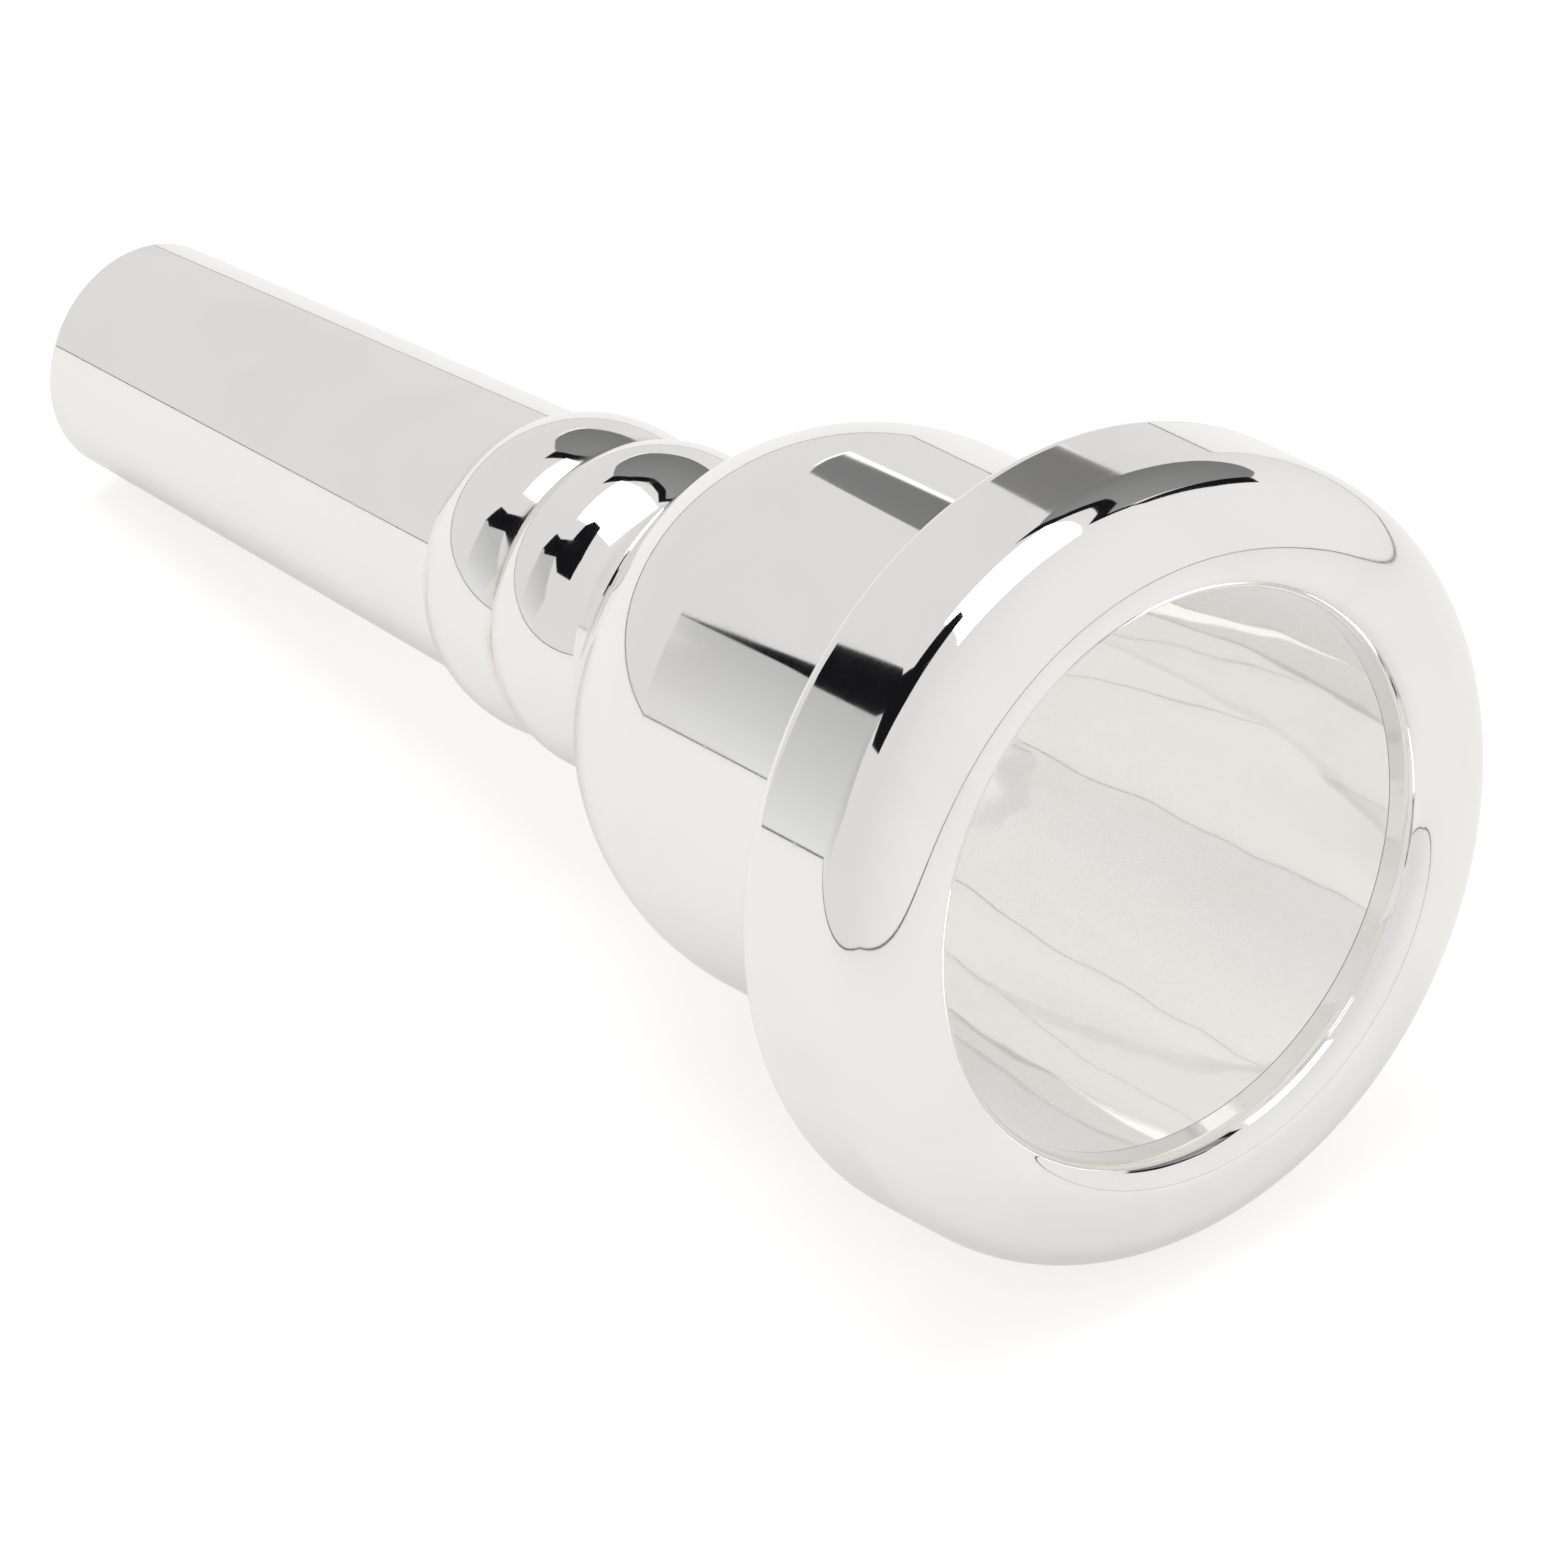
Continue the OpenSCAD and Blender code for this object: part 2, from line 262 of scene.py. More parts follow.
def ridge(wall, side, start):
    """Points, normals, faces and finishes of one helical ridge on a wall."""
    crest = wall + side * (STUD_RIDGE if side > 0 else SOCKET_RIDGE)
    foot = wall - side * SUNK
    section = [
        (foot, -HALF_FOOT * PITCH),
        (crest, -HALF_CREST * PITCH, CREST_EDGE),
        (crest, HALF_CREST * PITCH, CREST_EDGE),
        (foot, HALF_FOOT * PITCH),
    ]
    if side < 0:
        section.reverse()
    rows, bands = rings_of(profile_runs(section, closed=False))
    steps = round(THREAD_TURNS * STEPS_A_TURN)
    points, normals = [], []
    for i in range(steps + 1):
        angle = 2 * math.pi * i / STEPS_A_TURN
        share = min(1.0, FADE_FROM + FADE_A_TURN * min(i, steps - i) / STEPS_A_TURN)
        c, s = math.cos(angle), math.sin(angle)
        for r, z, nr, nz in rows:
            if side * (r - wall) > 0:
                r = wall + (r - wall) * share
            points.append((r * c, r * s, z + start + PITCH * i / STEPS_A_TURN))
            normals.append((nr * c, nr * s, nz))
    width = len(rows)
    faces = []
    for i in range(steps):
        for low, high, _ in bands:
            a, b = i * width, (i + 1) * width
            faces.append((a + low, b + low, b + high, a + high))
    faces.append(tuple(range(width)))
    faces.append(tuple(reversed(range(steps * width, (steps + 1) * width))))
    return np.array(points), np.array(normals), faces, ["turned"] * len(faces)


print("a ridge round a stud of 10 mm radius has", len(ridge(10, 1, 0)[2]), "faces")

# %% [markdown]
# ## Building with nodes
# Each finish is a tree of nodes. Linking them by hand in the editor suits one material, but here five share
# the same parts, and a few short helpers keep them alike.
# Object coordinates are turned back on to the axis with a Mapping node, so that a pattern can run round the
# metal. Unwrapping the pieces would do that too, but it leaves a seam.

# %% Helpers for nodes
def add_node(tree, kind, **values):
    node = tree.nodes.new(kind)
    for name, value in values.items():
        setattr(node, name, value)
    return node


def feed(tree, socket, value):
    """Gives a socket a number or another node's output."""
    if isinstance(value, (int, float)):
        socket.default_value = value
    elif value is not None:
        tree.links.new(value, socket)


def maths(tree, operation, a, b=None, c=None, clamp=False):
    node = add_node(tree, "ShaderNodeMath", operation=operation, use_clamp=clamp)
    for socket, value in zip(node.inputs, (a, b, c)):
        feed(tree, socket, value)
    return node.outputs[0]


def smooth_step(tree, value, low, high):
    """0 below low and 1 above high, with a soft rise between."""
    node = add_node(tree, "ShaderNodeMapRange", interpolation_type="SMOOTHSTEP")
    for label, given in (("Value", value), ("From Min", low), ("From Max", high)):
        feed(tree, node.inputs[label], given)
    return node.outputs["Result"]


def noise(tree, place, scale, detail=2.0, distortion=0.0):
    """The value of a noise texture at a place, with about this many features to each unit of the place."""
    node = add_node(tree, "ShaderNodeTexNoise", noise_dimensions="3D")
    for label, given in (("Vector", place), ("Scale", scale), ("Detail", detail), ("Distortion", distortion)):
        feed(tree, node.inputs[label], given)
    return node.outputs["Fac"]


upright = lay.inverted()


def stood_up(tree):
    """Object coordinates turned back to the axis, so that z runs along it from the shank's end."""
    turn = add_node(tree, "ShaderNodeMapping", vector_type="POINT")
    turn.inputs["Location"].default_value = upright.to_translation()
    turn.inputs["Rotation"].default_value = upright.to_euler("XYZ")
    tree.links.new(add_node(tree, "ShaderNodeTexCoord").outputs["Object"], turn.inputs["Vector"])
    return turn.outputs[0]


def axis_parts(tree):
    """The place on the piece, and from it the distance from the axis and the place along it."""
    place = stood_up(tree)
    parts = add_node(tree, "ShaderNodeSeparateXYZ")
    tree.links.new(place, parts.inputs[0])
    squares = maths(tree, "MULTIPLY", parts.outputs[0], parts.outputs[0])
    radius = maths(tree, "SQRT", maths(tree, "MULTIPLY_ADD", parts.outputs[1], parts.outputs[1], squares))
    return place, radius, parts.outputs[2]


print("the turn back to the axis, in degrees:", [round(math.degrees(v), 2) for v in upright.to_euler("XYZ")])

# %% [markdown]
# ## Lathe lines
# Turning and buffing leave fine rings, so the pattern depends only on the distance from the axis and the
# place along it. They are patchy, as a hand-held buff wipes most of them away. A Wave texture could draw
# rings, but it would space them evenly, so a noise without a direction round the axis makes them here.

# %% Lathe lines
def start_group(name, inputs, outputs):
    """A node group with float inputs (name, value) and outputs, and its two end nodes."""
    group = bpy.data.node_groups.new(name, "ShaderNodeTree")
    for label, value in inputs:
        group.interface.new_socket(label, in_out="INPUT", socket_type="NodeSocketFloat").default_value = value
    for label in outputs:
        group.interface.new_socket(label, in_out="OUTPUT", socket_type="NodeSocketFloat")
    return group, group.nodes.new("NodeGroupInput"), group.nodes.new("NodeGroupOutput")


lathe_lines, given, made = start_group("lathe_lines", [("Lines per mm", 6.0)], ["Height", "Tone"])
place, radius, height = axis_parts(lathe_lines)
fine = maths(lathe_lines, "MULTIPLY", given.outputs["Lines per mm"], 1 / MM)
wound = add_node(lathe_lines, "ShaderNodeCombineXYZ")
lathe_lines.links.new(maths(lathe_lines, "MULTIPLY", radius, fine), wound.inputs[0])
lathe_lines.links.new(maths(lathe_lines, "MULTIPLY", height, fine), wound.inputs[2])
grain = noise(lathe_lines, wound.outputs[0], 1.0, detail=3.0)
patchy = smooth_step(lathe_lines, noise(lathe_lines, place, 90.0), 0.35, 0.7)
lathe_lines.links.new(maths(lathe_lines, "MULTIPLY", grain, patchy), made.inputs["Height"])
lathe_lines.links.new(smooth_step(lathe_lines, grain, 0.3, 0.75), made.inputs["Tone"])
print("lathe_lines:", len(lathe_lines.nodes), "nodes")

# %% [markdown]
# ## Handling marks
# A mouthpiece is held, wiped and carried in a pocket, which leaves soft smudges and a few hair scratches.
# The hairs are a noise stretched twenty times along one direction, and only its highest crests are kept.
# Two such noises lie across each other. Scratches could be painted by hand, but they would then need a map.

# %% Smudges and scratches
HAIR_DIRECTIONS = ((0.4, 0.9, 0.2), (1.3, 0.3, 1.9))
HAIR_STRETCH = (1.0, 0.05, 1.0)
handling, given, made = start_group("handling", [("Scratch spacing", 900.0)], ["Smudge", "Scratch"])
place = stood_up(handling)
smears = noise(handling, place, 110.0, detail=4.0, distortion=0.6)
handling.links.new(smooth_step(handling, smears, 0.45, 0.75), made.inputs["Smudge"])
hairs = []
for direction in HAIR_DIRECTIONS:
    stretched = add_node(handling, "ShaderNodeMapping")
    stretched.inputs["Rotation"].default_value = direction
    stretched.inputs["Scale"].default_value = HAIR_STRETCH
    handling.links.new(place, stretched.inputs["Vector"])
    hair = noise(handling, stretched.outputs[0], given.outputs["Scratch spacing"], detail=1.0)
    hairs.append(smooth_step(handling, hair, 0.7, 0.78))
handling.links.new(maths(handling, "MAXIMUM", *hairs), made.inputs["Scratch"])
print("handling:", len(handling.nodes), "nodes")

# %% [markdown]
# ## Tarnish in a groove
# Silver turns brown where a cloth can't reach it: in the grooves between beads and in the joints. The mask
# is strongest at one place along the axis and fades within its reach on both sides, broken up by clouds.
# An ambient occlusion node finds such corners too, but it also darkens open ones that a cloth does reach.

# %% The tarnish mask
tarnish, given, made = start_group("tarnish", [("Place mm", 43.2), ("Reach mm", 1.0)], ["Mask"])
place, _, height = axis_parts(tarnish)
away = maths(tarnish, "ABSOLUTE", maths(tarnish, "MULTIPLY_ADD", height, -1 / MM, given.outputs["Place mm"]))
faded = maths(tarnish, "DIVIDE", away, given.outputs["Reach mm"])
near = maths(tarnish, "SUBTRACT", 1.0, faded, clamp=True)
uneven = smooth_step(tarnish, noise(tarnish, place, 420.0, detail=4.0), 0.25, 0.7)
tarnish.links.new(maths(tarnish, "MULTIPLY", maths(tarnish, "POWER", near, 2.0), uneven), made.inputs["Mask"])
print("tarnish:", len(tarnish.nodes), "nodes")

# %% [markdown]
# ## What all the silver shares
# The plate is one metal, so one function makes every finish of it. Roughness carries most of the difference,
# because silver's own colour hardly changes. Hand buffing leaves slow waves, which bend the straight
# lines that the silver mirrors, and they go into the bump with the lathe lines.
# Light that runs round the bowl is mirrored many times, and the renderer stops after some of them. From
# the fourth mirroring on, the silver glows with painted light that stands in for the little the rest of the
# way would bring, so no part goes black.
# More bounces in the render settings would do it too, but those aren't the script's to set.

# %% A finish of silver
CLEAN_SILVER = (0.895, 0.892, 0.884, 1)
FRESH_SILVER = (0.99, 0.985, 0.975, 1)
WARM_TARNISH = (0.62, 0.53, 0.40, 1)
MOST_MIRRORED = 4
WAVES_A_METRE = 140.0
FILM_TONE = 0.12
ROUGH_LINES, ROUGH_FILM, ROUGH_SCRATCH, ROUGH_TARNISH = 0.35, 0.05, 0.06, 0.25


def place_group(tree, group, **values):
    node = add_node(tree, "ShaderNodeGroup", node_tree=group)
    for name, value in values.items():
        node.inputs[name.replace("_", " ")].default_value = value
    return node


def silver(
    name, roughness, line_depth, lines_per_mm, smudged, grooves,
    waves=0.003, metallic=1.0, clean=CLEAN_SILVER, late_bounce_glow=0.2,
):
    """A silver finish. The depths of lines and waves are in mm, and beyond is the strength of the painted
    glow that stands in for light after the fourth mirroring.
    Grooves lists (place, reach, strength) of tarnish, in mm from the shank's end."""
    material = bpy.data.materials.new(name)
    material.use_nodes = True
    tree = material.node_tree
    shader = tree.nodes["Principled BSDF"]
    shader.inputs["Metallic"].default_value = metallic
    lines = place_group(tree, lathe_lines, Lines_per_mm=lines_per_mm)
    marks = place_group(tree, handling, Scratch_spacing=900.0)
    dark = None
    for where, reach, strength in grooves:
        spot = place_group(tree, tarnish, Place_mm=where, Reach_mm=reach)
        mask = maths(tree, "MULTIPLY", spot.outputs["Mask"], strength)
        dark = mask if dark is None else maths(tree, "MAXIMUM", dark, mask)
    film = maths(tree, "MULTIPLY", marks.outputs["Smudge"], smudged)
    colour = add_node(tree, "ShaderNodeMix", data_type="RGBA")
    colour.inputs["A"].default_value = clean
    colour.inputs["B"].default_value = WARM_TARNISH
    film_tone = maths(tree, "MULTIPLY", film, FILM_TONE)
    tree.links.new(maths(tree, "MAXIMUM", film_tone, dark), colour.inputs["Factor"])
    tree.links.new(colour.outputs["Result"], shader.inputs["Base Color"])
    rough = maths(tree, "MULTIPLY_ADD", lines.outputs["Tone"], roughness * ROUGH_LINES, roughness)
    rough = maths(tree, "MULTIPLY_ADD", film, ROUGH_FILM, rough)
    rough = maths(tree, "MULTIPLY_ADD", marks.outputs["Scratch"], ROUGH_SCRATCH * smudged, rough)
    rough = maths(tree, "MULTIPLY_ADD", dark, ROUGH_TARNISH, rough)
    tree.links.new(rough, shader.inputs["Roughness"])
    # Painted light: from the fourth mirroring on, the silver glows, standing in for light that more bounces
    # would bring.
    mirrored = add_node(tree, "ShaderNodeLightPath").outputs["Glossy Depth"]
    late = maths(tree, "GREATER_THAN", mirrored, MOST_MIRRORED - 0.5)
    tree.links.new(maths(tree, "MULTIPLY", late, late_bounce_glow), shader.inputs["Emission Color"])
    shader.inputs["Emission Strength"].default_value = 1.0
    bump = add_node(tree, "ShaderNodeBump")
    bump.inputs["Strength"].default_value = 1.0
    bump.inputs["Distance"].default_value = MM
    swell = noise(tree, stood_up(tree), WAVES_A_METRE, detail=1.0)
    cut = maths(tree, "MULTIPLY", lines.outputs["Height"], line_depth)
    tree.links.new(maths(tree, "MULTIPLY_ADD", swell, waves, cut), bump.inputs["Height"])
    tree.links.new(bump.outputs["Normal"], shader.inputs["Normal"])
    return material


print("tones of clean and fresh silver:", CLEAN_SILVER[0], FRESH_SILVER[0])

# %% [markdown]
# ## Four finishes of silver
# Outside, the plate is buffed to a mirror. In the bowl the buff reaches less well, so the plate keeps some
# of the milky satin it has when it leaves the bath, and it is a little less metallic, because fresh plate
# scatters light from within its crystals. In the joints it is left as the lathe cut it, so it is duller and
# its rings show. The bores lie between the two. One material with a painted mask could hold all four, but
# separate ones are easier to tune, and each face simply gets the finish that its profile names.

# %% The silver finishes
SEAMS = [(43.2, 0.7, 0.55), (50.2, 0.9, 0.25), (81.6, 0.5, 0.3)]
THROAT_RING, BORE_SEAM = [(54.0, 3.0, 0.3)], [(51.3, 2.5, 0.4)]
RING_GROOVES = [(44.6, 2.0, 0.5), (83.3, 2.0, 0.4)]
# Each finish sets its painted glow for late mirrorings: strongest in the bowl, weakest in the bores.
finishes = {
    "mirror": silver(
        "silver_mirror", roughness=0.035, line_depth=0.00012, lines_per_mm=5.0, smudged=0.6, grooves=SEAMS,
    ),
    "bowl": silver(
        "silver_bowl", roughness=0.03, line_depth=0.0003, lines_per_mm=4.0, smudged=0.4, grooves=THROAT_RING,
        waves=0.09, metallic=0.90, clean=FRESH_SILVER, late_bounce_glow=0.36,
    ),
    "bore": silver(
        "silver_bore", roughness=0.24, line_depth=0.0006, lines_per_mm=5.0, smudged=0.8, grooves=BORE_SEAM,
        metallic=0.85, late_bounce_glow=0.06,
    ),
    "turned": silver(
        "silver_turned", roughness=0.22, line_depth=0.004, lines_per_mm=7.0, smudged=1.0,
        grooves=RING_GROOVES,
    ),
}
print("silver finishes:", sorted(finishes))

# %% [markdown]
# ## The rubber
# The rings are black rubber, nearly dull and a little greasy, since the joints are put together with a
# smear of grease. The grease lowers the roughness where the smudges are. A very fine noise in the bump
# stands for the skin that the mould leaves. Modelling that skin would cost a great many faces for nothing.

# %% The rubber finish
DRY_RUBBER, GREASED_RUBBER = (0.012, 0.012, 0.014, 1), (0.035, 0.034, 0.033, 1)
DRY_ROUGHNESS, GREASE_SMOOTHS = 0.5, 0.2
SKIN_DEPTH = 0.03
rubber = bpy.data.materials.new("ring_rubber")
rubber.use_nodes = True
rubber_tree = rubber.node_tree
rubber_shader = rubber_tree.nodes["Principled BSDF"]
grease = place_group(rubber_tree, handling, Scratch_spacing=1600.0).outputs["Smudge"]
black = add_node(rubber_tree, "ShaderNodeMix", data_type="RGBA")
black.inputs["A"].default_value = DRY_RUBBER
black.inputs["B"].default_value = GREASED_RUBBER
rubber_tree.links.new(grease, black.inputs["Factor"])
rubber_tree.links.new(black.outputs["Result"], rubber_shader.inputs["Base Color"])
dullness = maths(rubber_tree, "MULTIPLY_ADD", grease, -GREASE_SMOOTHS, DRY_ROUGHNESS)
rubber_tree.links.new(dullness, rubber_shader.inputs["Roughness"])
skin_place = add_node(rubber_tree, "ShaderNodeTexCoord").outputs["Object"]
skin = add_node(rubber_tree, "ShaderNodeBump")
skin.inputs["Strength"].default_value = 0.3
skin.inputs["Distance"].default_value = SKIN_DEPTH * MM
rubber_tree.links.new(noise(rubber_tree, skin_place, 4000.0), skin.inputs["Height"])
rubber_tree.links.new(skin.outputs["Normal"], rubber_shader.inputs["Normal"])
finishes["rubber"] = rubber
print("finishes:", sorted(finishes))

# %% [markdown]
# ## Making a piece
# A piece joins its turned body and any ridges into one mesh, gives each face its finish and stores the exact
# normals. Its points are laid on the shared axis one by one, so that its box is as tight as the solid's. An
# object turned as a whole would look the same, but its box would be that of its turned corners.
# The piece rides on the body of the solid that it stands for, so it turns and travels with it.

# %% Build and place a piece
def make_piece(name, node, parts):
    """A piece made of parts, each with the points, normals, faces and finishes of a body or a ridge."""
    matrix = np.array(lay)
    points = np.concatenate([p[0] for p in parts]) * MM @ matrix[:3, :3].T + matrix[:3, 3]
    normals = np.concatenate([p[1] for p in parts]) @ matrix[:3, :3].T
    faces, kinds, first = [], [], 0
    for part in parts:
        faces += [tuple(first + v for v in face) for face in part[2]]
        kinds += part[3]
        first += len(part[0])
    mesh = bpy.data.meshes.new(name)
    mesh.from_pydata(points.tolist(), [], faces)
    used = sorted(set(kinds))
    for kind in used:
        mesh.materials.append(finishes[kind])
    mesh.polygons.foreach_set("material_index", [used.index(kind) for kind in kinds])
    mesh.polygons.foreach_set("use_smooth", [True] * len(faces))
    mesh.update()
    mesh.normals_split_custom_set_from_vertices(normals.tolist())
    piece = bpy.data.objects.new(name, mesh)
    bpy.context.scene.collection.objects.link(piece)
    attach(piece, node)
    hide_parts(node)
    low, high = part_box(node)
    print(f"{name}: {len(mesh.vertices)} points, CAD box {in_mm(high - low, 1)} mm")


print("finishes that a piece can name:", sorted(finishes))

# %% [markdown]
# ## The rim
# The rim is what the player's lips meet. A wide, flat arc runs over its face into a tighter one at the
# band, and a small one makes the bite, the edge inside. Behind, it is bored and threaded to screw over the
# cup. A bevelled cylinder could stand for it, but here the arcs are tangent to each other, so the
# reflections flow over them without a break.

# %% Turn the rim
RIM_R, MOUTH_R, FACE = 22.4, 15.85, 92.0
BAND_LENGTH, LIP_DEPTH, SPIGOT_WALL = 10.4, 2.8, 2.36
PLAY, CHAMFER, EDGE, FINE_EDGE, LIP_EDGE = 0.06, 0.35, 0.1, 0.05, 0.04
spigot_r = MOUTH_R + SPIGOT_WALL
rim_bore = spigot_r + PLAY
band_back, lip = FACE - BAND_LENGTH, FACE - LIP_DEPTH
cup_thread_from = 85.06
rim_thread_from = cup_thread_from + PITCH / 2
land = RIM_R - MOUTH_R
# Shares of the land: the bite, the fall of the face, the tighter arc and the rounding behind the band
bite, fall, tight, back = (share * land for share in (0.245, 0.61, 0.49, 0.2))
crest = MOUTH_R + bite
side_step = RIM_R - crest - tight
wide = (fall**2 + side_step**2 - tight**2) / (2 * (fall - tight))
lean = math.degrees(math.atan2(side_step, wide - fall))
rim_profile = [
    "mirror",
    (rim_bore + CHAMFER, band_back, FINE_EDGE),
    (RIM_R - back, band_back + back, back, -90, 0),
    (RIM_R - tight, FACE - fall, tight, 0, 90 - lean),
    (crest, FACE - wide, wide, 90 - lean, 90),
    (crest, FACE - bite, bite, 90, 180),
    (MOUTH_R, lip, LIP_EDGE),
    "turned",
    (rim_bore, lip, EDGE),
    (rim_bore, band_back + CHAMFER, FINE_EDGE),
]
rim_parts = [turned(rim_profile), ridge(rim_bore, -1, rim_thread_from)]
make_piece("rim_polished", "rim", rim_parts)

# %% [markdown]
# ## The outside of the cup
# The outside runs straight down from the rim, rounds in, turns through a small cove into the neck and swells
# into a bead. A Bezier curve could be drawn by eye through the same places, but a turner cuts arcs, and
# the place and angle at which two of them meet can be worked out exactly.

# %% The body, the cove and the bead
FACE_PLAY, SPIGOT_INSIDE, BODY_OUTSIDE = 0.03, 0.13, 0.15
# How far below the rim's face they lie: the shoulder, the middle of the bead and the joint
SHOULDER_DOWN, BEAD_DOWN, JOINT_DOWN = 26.9, 45.9, 48.8
body_r, shoulder, body_round = MOUTH_R + BODY_OUTSIDE, FACE - SHOULDER_DOWN, 15.2
neck_r, cove_r = 8.0975, 1.2
round_r = body_r - body_round
cove_middle_r = neck_r + cove_r
cove_drop = math.sqrt((body_round + cove_r) ** 2 - (cove_middle_r - round_r) ** 2)
cove_middle_z = shoulder - cove_drop
meet = math.degrees(math.atan2(cove_middle_z - shoulder, cove_middle_r - round_r))
bead_r, bead_z, bead_round = 9.3975, FACE - BEAD_DOWN, 5.8
bead_centre = bead_r - bead_round
joint_face = FACE - JOINT_DOWN + FACE_PLAY
bead_low = math.degrees(math.asin((joint_face - bead_z) / bead_round))
bead_high = math.degrees(math.acos((neck_r - bead_centre) / bead_round))
cup_outside = [
    "mirror",
    (bead_centre, bead_z, bead_round, bead_low, bead_high),
    (cove_middle_r, cove_middle_z, cove_r, 180, 180 + meet),
    (round_r, shoulder, body_round, meet, 0),
    (body_r, band_back + SPIGOT_INSIDE),
]
print("the cup's arc meets the cove at", round(meet, 1), "degrees; its neck is", neck_r, "mm in radius")

# %% [markdown]
# ## The spigot
# The spigot is the part of the cup that the rim screws over. Low on it is the groove for the rubber ring, and
# above the groove it is turned down to the core that carries the thread. The groove is wider than its ring,
# so that the ring can spread when it is squeezed. A Boolean could cut the groove into a plain cylinder, but
# that would break the bands of faces that the mirror needs.

# %% The spigot and the groove of its ring
CORE_DROP, GROOVE_SHARE, GROOVE_EDGE = 0.45, 0.6, 0.15
RIM_RING, RING_INSIDE, RING_TO_LAND_TOP = 1.4, 1.7, 1.26
core_r, spigot_top = spigot_r - CORE_DROP, lip - FACE_PLAY
ring_z, ring_half = band_back + RING_INSIDE, GROOVE_SHARE * RIM_RING
groove_r = spigot_r - RIM_RING - PLAY
land_top = ring_z + RING_TO_LAND_TOP
cup_spigot = [
    "turned",
    (spigot_r, band_back + SPIGOT_INSIDE, FINE_EDGE),
    (spigot_r, ring_z - ring_half, EDGE),
    (groove_r, ring_z - ring_half, GROOVE_EDGE),
    (groove_r, ring_z + ring_half, GROOVE_EDGE),
    (spigot_r, ring_z + ring_half, EDGE),
    (spigot_r, land_top, EDGE),
    (core_r, land_top),
    (core_r, spigot_top - CHAMFER, EDGE),
    (core_r - CHAMFER, spigot_top, EDGE),
]
print("the rim's ring sits", round(ring_z, 2), "mm from the shank's end")

# %% [markdown]
# ## The bowl and the socket
# The inside is one long arc from the mouth to the throat, the narrowest place of all, so its centre follows
# from its two ends and its radius. Below the throat the neck is bored out for the shank's stud: a wide bore
# for the ring and a narrower one for the thread, a little longer than the stud that goes in.

# %% Turn the cup
THROAT_R, throat_top, BOWL_ARC = 4.0, 54.5, 90.0
STUD_R, STUD_CORE_R, stud_shoulder, stud_top = 7.5975, 5.7975, 46.1, 51.2
SOCKET_ROOM = 0.2
stud_thread_from = 46.8
socket_thread_from = stud_thread_from + PITCH / 2
chord = np.array([MOUTH_R - THROAT_R, lip - throat_top])
reach = np.linalg.norm(chord)
middle = np.array([(MOUTH_R + THROAT_R) / 2, (lip + throat_top) / 2])
bowl_centre = middle + math.sqrt(BOWL_ARC**2 - reach**2 / 4) * np.array([-chord[1], chord[0]]) / reach
bowl_high = math.degrees(math.asin((spigot_top - bowl_centre[1]) / BOWL_ARC))
bowl_low = math.degrees(math.asin((throat_top - bowl_centre[1]) / BOWL_ARC))
socket_r, socket_core_r = STUD_R + PLAY, STUD_CORE_R + CORE_DROP + PLAY
socket_top, socket_step = stud_top + SOCKET_ROOM, stud_shoulder + SOCKET_ROOM
cup_inside = [
    "bowl",
    (*bowl_centre, BOWL_ARC, bowl_high, bowl_low),
    "bore",
    (THROAT_R, throat_top),
    (THROAT_R, socket_top),
    "turned",
    (socket_core_r, socket_top),
    (socket_core_r, socket_step, EDGE),
    (socket_r, socket_step),
    (socket_r, joint_face, EDGE),
]
cup_parts = [turned(cup_outside + cup_spigot + cup_inside), ridge(core_r, 1, cup_thread_from)]
cup_parts.append(ridge(socket_core_r, -1, socket_thread_from))
make_piece("cup_polished", "cup", cup_parts)

# %% [markdown]
# ## The shank
# The shank is the long taper that is pushed into the instrument. It ends in the second bead, which matches
# the cup's, and above that comes the stud with its thread and its groove. Its bore widens towards the end.
# The end is rounded over, because a sharp edge there would be dented the first time it is set down.
# A cone primitive would do for the taper alone, but one profile keeps the taper, bead and stud in line.

# %% Turn the shank
SHANK_RING, LOW_BEAD_LESS = 1.05, 0.33
END_R, END_ROUND, BORE_END_R, BORE_EDGE = 6.6, 0.45, 5.6, 0.12
low_bead_r, low_bead_z, low_bead_round = bead_r - LOW_BEAD_LESS, 40.5, 8.4
low_centre = low_bead_r - low_bead_round
taper_top, stud_foot = 36.171, joint_face - FACE_PLAY
low_from = -math.degrees(math.asin((low_bead_z - taper_top) / low_bead_round))
low_to = math.degrees(math.asin((stud_foot - low_bead_z) / low_bead_round))
ring_floor = STUD_R - SHANK_RING - PLAY
seal_z, seal_half = 44.65, GROOVE_SHARE * SHANK_RING
shank_profile = [
    "mirror",
    (BORE_END_R, 0, BORE_EDGE),
    (END_R - END_ROUND, END_ROUND, END_ROUND, -90, 0),
    (low_centre, low_bead_z, low_bead_round, low_from, low_to),
    "turned",
    (STUD_R, stud_foot),
    (STUD_R, seal_z - seal_half, EDGE),
    (ring_floor, seal_z - seal_half, EDGE),
    (ring_floor, seal_z + seal_half, EDGE),
    (STUD_R, seal_z + seal_half, EDGE),
    (STUD_R, stud_shoulder - CHAMFER, EDGE),
    (STUD_R - CHAMFER, stud_shoulder, EDGE),
    (STUD_CORE_R, stud_shoulder),
    (STUD_CORE_R, stud_top - CHAMFER, EDGE),
    (STUD_CORE_R - CHAMFER, stud_top, EDGE),
    "bore",
    (THROAT_R, stud_top, BORE_EDGE),
]
shank_parts = [turned(shank_profile), ridge(STUD_CORE_R, 1, stud_thread_from)]
make_piece("shank_polished", "shank", shank_parts)

# %% [markdown]
# ## The two rubber rings
# Each ring is a plain round-section ring that sits in its groove and rubs in the bore round it, so that the
# joint turns smoothly and doesn't rattle or leak. A torus primitive has the right shape, but a ring made
# with the same profile helper keeps its exact normals and its finish with the others.

